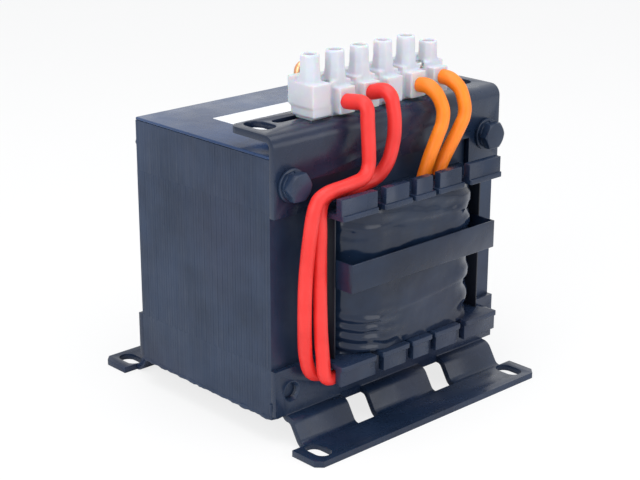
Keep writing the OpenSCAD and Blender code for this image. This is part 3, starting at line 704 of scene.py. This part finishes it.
def moulded(name, solid, cuts, voxel, slot, nodes):
    """The shells joined, the cuts taken out, and the result remeshed with soft edges."""
    join = solid.modifiers.new("join", "REMESH")
    join.mode, join.voxel_size = "VOXEL", voxel * MM
    cut = solid.modifiers.new("cut", "BOOLEAN")
    cut.operation, cut.solver, cut.object, cut.use_self = "DIFFERENCE", "EXACT", cuts, True
    again = solid.modifiers.new("again", "REMESH")
    again.mode, again.voxel_size = "VOXEL", voxel * MM
    soften = solid.modifiers.new("soften", "SMOOTH")
    soften.factor, soften.iterations = 0.5, 3
    bpy.context.view_layer.update()
    graph = bpy.context.evaluated_depsgraph_get()
    mesh = bpy.data.meshes.new_from_object(solid.evaluated_get(graph))
    for used in (solid, cuts):
        data = used.data
        bpy.data.objects.remove(used)
        bpy.data.meshes.remove(data)
    mesh.name = name
    return place_piece(name, mesh, slot, nodes, 70)


def tower(x, top):
    """One screw tower with a step below its rim, as (x, y, [(z, width, corner cut)])."""
    return (x, STRIP_Y, [(129, 7.9, 2.2), (131.6, 7.8, 2.2), (top - 7.3, 7.4, 2.1),
                         (top - 6.9, 7.1, 2.0), (top - 0.5, 6.9, 2.0), (top, 6.2, 1.9)])


def terminal_housing():
    """The strip's moulding: six poles on a common foot; the first has no front nose."""
    boxes, towers, cut_boxes, rods = [], [], [], []
    for k, x in enumerate(POLE_X):
        towers.append(tower(x, TOWER_TOP if k < POLES - 1 else LAST_TOP))
        rods.append((x, STRIP_Y, 131, TOWER_HOLE, 20, "z"))
        if k:
            # body, front nose, rear box
            boxes += [(x - 4.9, x + 4.9, -33.6, -26, STRIP_FOOT, 131.7),
                      (x - 3.9, x + 3.9, -37.2, -33, 119.6, 129.6),
                      (x - 4.0, x + 4.0, -27, -23.4, 123.2, 133.2)]
            rods.append((*ENTRIES[k], ENTRY_HOLE, 6, "y"))
        else:
            # high body, rear box, stepped underside, web to the second pole
            boxes += [(x - 4.2, x + 4.6, -36.2, -22.8, 123.6, 132.3),
                      (x - 4.2, x + 3.6, -26, -22.6, 124.3, 134.3),
                      (x - 3.7, x + 5.2, -36, -23.6, 119.9, 124.2),
                      (x - 2.6, x + 5.2, -33.6, -25, STRIP_FOOT, 121),
                      (x + 5.0, x + 8, -33.4, -26, STRIP_FOOT, 131.0)]
        cut_boxes += [(x - 3.1, x + 3.1, -25.0, -22, 124.4, 132.2)]
        rods.append((x, -29, 127.6, SCREW_HOLE, 8, "y"))
    boxes += [(POLE_X[0] + 5, POLE_X[-1] + 5, -32.2, -18.5, STRIP_FOOT, 123.4),
              (POLE_X[0], POLE_X[-1], -32.4, -26.6, 119.5, 129.4)]
    for x in (POLE_X[0] + PITCH / 2, POLE_X[-1] - PITCH / 2):
        rods.append((x, STRIP_Y, 129.2, SCREW_HOLE, 8, "z"))
    moulded("terminal_housing_dressed", shells("housing_solid", boxes, towers),
            shells("housing_cuts", cut_boxes, (), rods), NYLON_VOXEL, "milky_nylon",
            ["terminal_housing"])


terminal_housing()
rounded_copy("terminal_screws", 0.12)
rounded_copy("strip_screws", 0.12)

# ---------------------------------------------------------------- CAD nodes that stay

STAYING = ["bobbin_tube", "primary_winding", "winding_barrier", "secondary_winding",
           "bolt_sleeves", "lower_bolts", "terminal_inserts"]
for node_name in STAYING:
    kept = frame["nodes"][node_name]
    for material_slot in kept.material_slots:
        material_slot.material = MATERIAL[SLOT[node_name]]

# ---------------------------------------------------------------- floor and light


FLOOR_HALF, FLOOR_GLOW, ROOM_LIGHT = 3.0, 0.78, 0.55


def floor():
    """A plain pale floor; the glow is for the camera alone, and leaves some of the shadow."""
    m = Finish("floor_paint", Specular_IOR_Level=0.2)
    m.colour(m.mix(m.span(m.noise(3, 2), 0, 1), (0.9, 0.9, 0.905), (0.93, 0.93, 0.935)))
    m.rough(m.span(m.noise(20, 3), 0.6, 0.75))
    glow = m.add("ShaderNodeEmission")
    path = m.add("ShaderNodeLightPath")
    share = m.add("ShaderNodeMath", operation="MULTIPLY")
    share.inputs[1].default_value = FLOOR_GLOW
    blend = m.add("ShaderNodeMixShader")
    m.link(path.outputs["Is Camera Ray"], share.inputs[0])
    m.link(share.outputs[0], blend.inputs[0])
    m.link(m.shader.outputs[0], blend.inputs[1])
    m.link(glow.outputs[0], blend.inputs[2])
    m.link(blend.outputs[0], m.out.inputs["Surface"])
    half = FLOOR_HALF
    mesh = bpy.data.meshes.new("floor")
    mesh.from_pydata([(-half, -half, 0), (half, -half, 0), (half, half, 0), (-half, half, 0)], [],
                     [(0, 1, 2, 3)])
    mesh.materials.append(m.material)
    obj = bpy.data.objects.new("floor", mesh)
    scene.collection.objects.link(obj)


def world_light():
    """White behind the object and in its reflections, a soft plain light otherwise."""
    world = bpy.data.worlds.new("studio")
    scene.world = world
    world.use_nodes = True
    nodes, links = world.node_tree.nodes, world.node_tree.links
    nodes.clear()
    out = nodes.new("ShaderNodeOutputWorld")
    shown, light = nodes.new("ShaderNodeBackground"), nodes.new("ShaderNodeBackground")
    shown.inputs["Color"].default_value = (1, 1, 1, 1)
    light.inputs["Color"].default_value = (0.93, 0.96, 1, 1)
    light.inputs["Strength"].default_value = ROOM_LIGHT
    path = nodes.new("ShaderNodeLightPath")
    total = path.outputs["Is Camera Ray"]
    for ray in ("Is Transmission Ray", "Is Glossy Ray"):
        seen = nodes.new("ShaderNodeMath")
        seen.operation = "MAXIMUM"
        links.new(total, seen.inputs[0])
        links.new(path.outputs[ray], seen.inputs[1])
        total = seen.outputs[0]
    mix = nodes.new("ShaderNodeMixShader")
    links.new(total, mix.inputs[0])
    links.new(light.outputs[0], mix.inputs[1])
    links.new(shown.outputs[0], mix.inputs[2])
    links.new(mix.outputs[0], out.inputs[0])


def area_light(name, place, aim, size, power):
    """A rectangular lamp at place that points at aim, in metres and watts."""
    data = bpy.data.lights.new(name, "AREA")
    data.shape, data.size, data.size_y = "RECTANGLE", size[0], size[1]
    data.energy = power
    lamp = bpy.data.objects.new(name, data)
    scene.collection.objects.link(lamp)
    lamp.location = place
    lamp.rotation_mode = "QUATERNION"
    lamp.rotation_quaternion = (Vector(aim) - Vector(place)).to_track_quat("-Z", "Y")


floor()
world_light()
area_light("top", (-0.1, -0.1, 1.0), (0, 0, 0.05), (1.0, 1.0), 7)
area_light("left", (-0.9, -0.2, 0.5), (0, 0, 0.06), (0.7, 0.7), 4)
area_light("front", (0.3, -1.0, 0.35), (0, 0, 0.06), (0.8, 0.6), 3)
